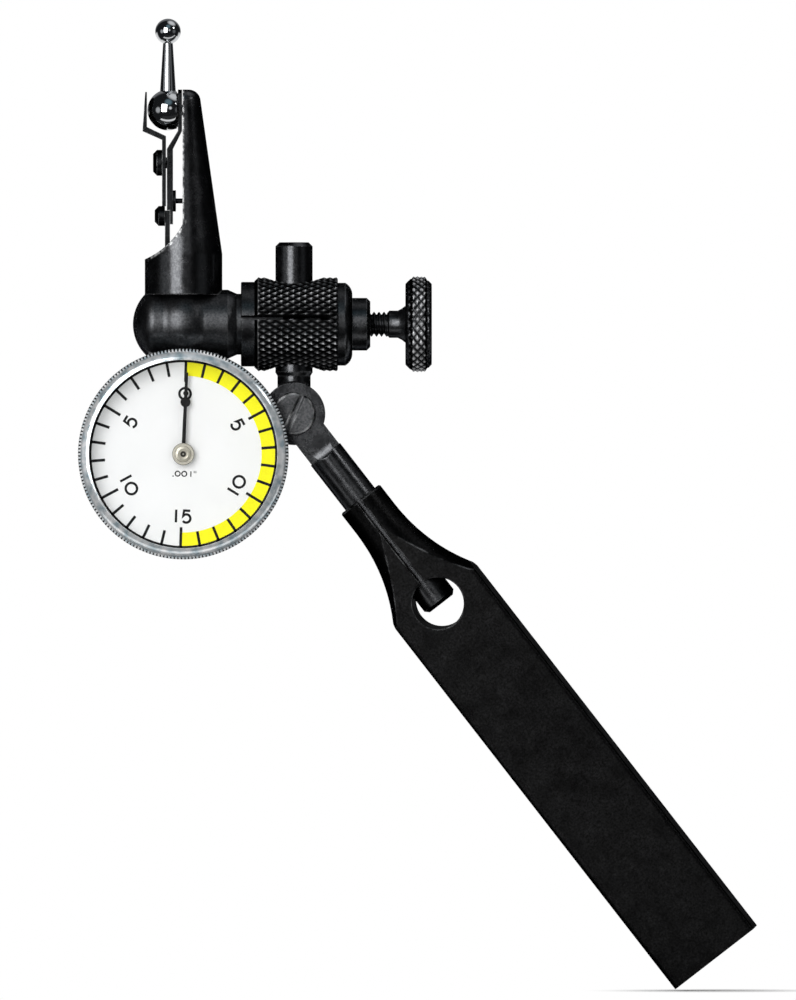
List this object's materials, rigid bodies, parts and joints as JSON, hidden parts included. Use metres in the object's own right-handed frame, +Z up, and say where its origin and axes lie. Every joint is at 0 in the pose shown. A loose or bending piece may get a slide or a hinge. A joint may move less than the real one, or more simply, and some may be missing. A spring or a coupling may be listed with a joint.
{
  "type": "dial test indicator",
  "caption": "Lever dial test indicator with a round white dial, a knurled split clamp, a knuckle joint and a flat tool-post shank.",
  "frame": {"origin": "centre of the square outer end face of the flat shank", "axes": "+Z up along the cross stem and the contact, +X to the right as the dial is read, -Y out of the dial towards the reader"},
  "size_m": [0.0862, 0.0149, 0.1232],
  "materials": {
    "blackened_steel": "black oxide, satin",
    "plain_steel": "ground",
    "bright_metal": "satin chrome",
    "polished_chrome": "polished",
    "brass": "turned",
    "clear_crystal": "clear",
    "white_dial": "matt white",
    "black_hand": "matt black"
  },
  "bodies": {
    "holder": {"tool_post_holder": "blackened_steel"},
    "rod": {"swivel_rod": "blackened_steel"},
    "knuckle": {"knuckle_post": "blackened_steel", "knuckle_screw": "blackened_steel"},
    "stem": {"cross_stem": "blackened_steel"},
    "clamp": {"clamp_sleeve": "blackened_steel", "clamp_end_cap": "blackened_steel", "pressure_shoe": "plain_steel"},
    "plunger": {"pressure_plunger": "plain_steel"},
    "thumb": {"thumb_screw": "blackened_steel"},
    "indicator": {"body_frame": "blackened_steel", "back_cover": "blackened_steel", "dial_case": "bright_metal", "snap_ring": "plain_steel", "front_bush": "brass", "rear_bush": "brass", "fulcrum_stud": "plain_steel", "hairspring": "plain_steel", "hairspring_stud": "brass", "cover_screw_1": "blackened_steel", "cover_screw_2": "blackened_steel", "cover_screw_3": "blackened_steel", "case_screw_1": "plain_steel", "case_screw_2": "plain_steel", "case_screw_3": "plain_steel"},
    "bezel": {"bezel_ring": "bright_metal", "crystal": "clear_crystal", "spacer_ring": "bright_metal", "dial_plate": "white_dial"},
    "lever": {"lever_arm": "blackened_steel", "friction_clip": "blackened_steel", "tension_screw": "blackened_steel", "clip_screw": "blackened_steel", "transmission_tail": "plain_steel", "limit_pin": "plain_steel", "follower_pin": "plain_steel"},
    "contact": {"contact_point": "polished_chrome"},
    "pointer": {"spindle": "plain_steel", "hairspring_collet": "brass", "pointer_hub": "bright_metal", "pointer_hand": "black_hand"}
  },
  "joints": [
    {"name": "rod_turn", "type": "hinge", "parent": "holder", "child": "rod", "pos_m": [-0.03681, 0, 0.04738], "axis": [-0.6135, 0, 0.7897], "continuous": true},
    {"name": "knuckle_tilt", "type": "hinge", "parent": "rod", "child": "knuckle", "pos_m": [-0.05362, 0, 0.06902], "axis": [0, 1, 0], "range_deg": [-37.8, 50]},
    {"name": "stem_turn", "type": "hinge", "parent": "knuckle", "child": "stem", "pos_m": [-0.05362, 0, 0.0804], "axis": [0, 0, 1], "range_deg": [-90, 40]},
    {"name": "clamp_slide", "type": "slide", "parent": "stem", "child": "clamp", "axis": [0, 0, 1], "range_m": [0, 0.0044]},
    {"name": "body_swivel", "type": "hinge", "parent": "clamp", "child": "indicator", "pos_m": [-0.06765, 0, 0.0804], "axis": [1, 0, 0], "range_deg": [-180, 3]},
    {"name": "plunger_slide", "type": "slide", "parent": "clamp", "child": "plunger", "axis": [1, 0, 0], "range_m": [0, 0.00127]},
    {"name": "thumb_turn", "type": "hinge", "parent": "plunger", "child": "thumb", "pos_m": [-0.05362, 0, 0.0804], "axis": [1, 0, 0], "range_deg": [0, 720]},
    {"name": "bezel_turn", "type": "hinge", "parent": "indicator", "child": "bezel", "pos_m": [-0.06765, 0, 0.0639], "axis": [0, 1, 0], "continuous": true},
    {"name": "pointer_spin", "type": "hinge", "parent": "indicator", "child": "pointer", "pos_m": [-0.06765, 0, 0.0639], "axis": [0, 1, 0], "range_deg": [-200, 200], "stiffness_Nm_per_rad": 0.00001},
    {"name": "lever_rock", "type": "hinge", "parent": "indicator", "child": "lever", "pos_m": [-0.06765, 0, 0.1076], "axis": [1, 0, 0], "range_deg": [-2.43, 2.43]},
    {"name": "contact_swivel", "type": "hinge", "parent": "lever", "child": "contact", "pos_m": [-0.06765, 0, 0.1076], "axis": [1, 0, 0], "range_deg": [-105, 105]}
  ],
  "couplings": [
    {"joint": "thumb_turn", "follows": "plunger_slide", "rad_per_m": 9894.7},
    {"joint": "pointer_spin", "follows": "lever_rock", "ratio": 82.304}
  ]
}
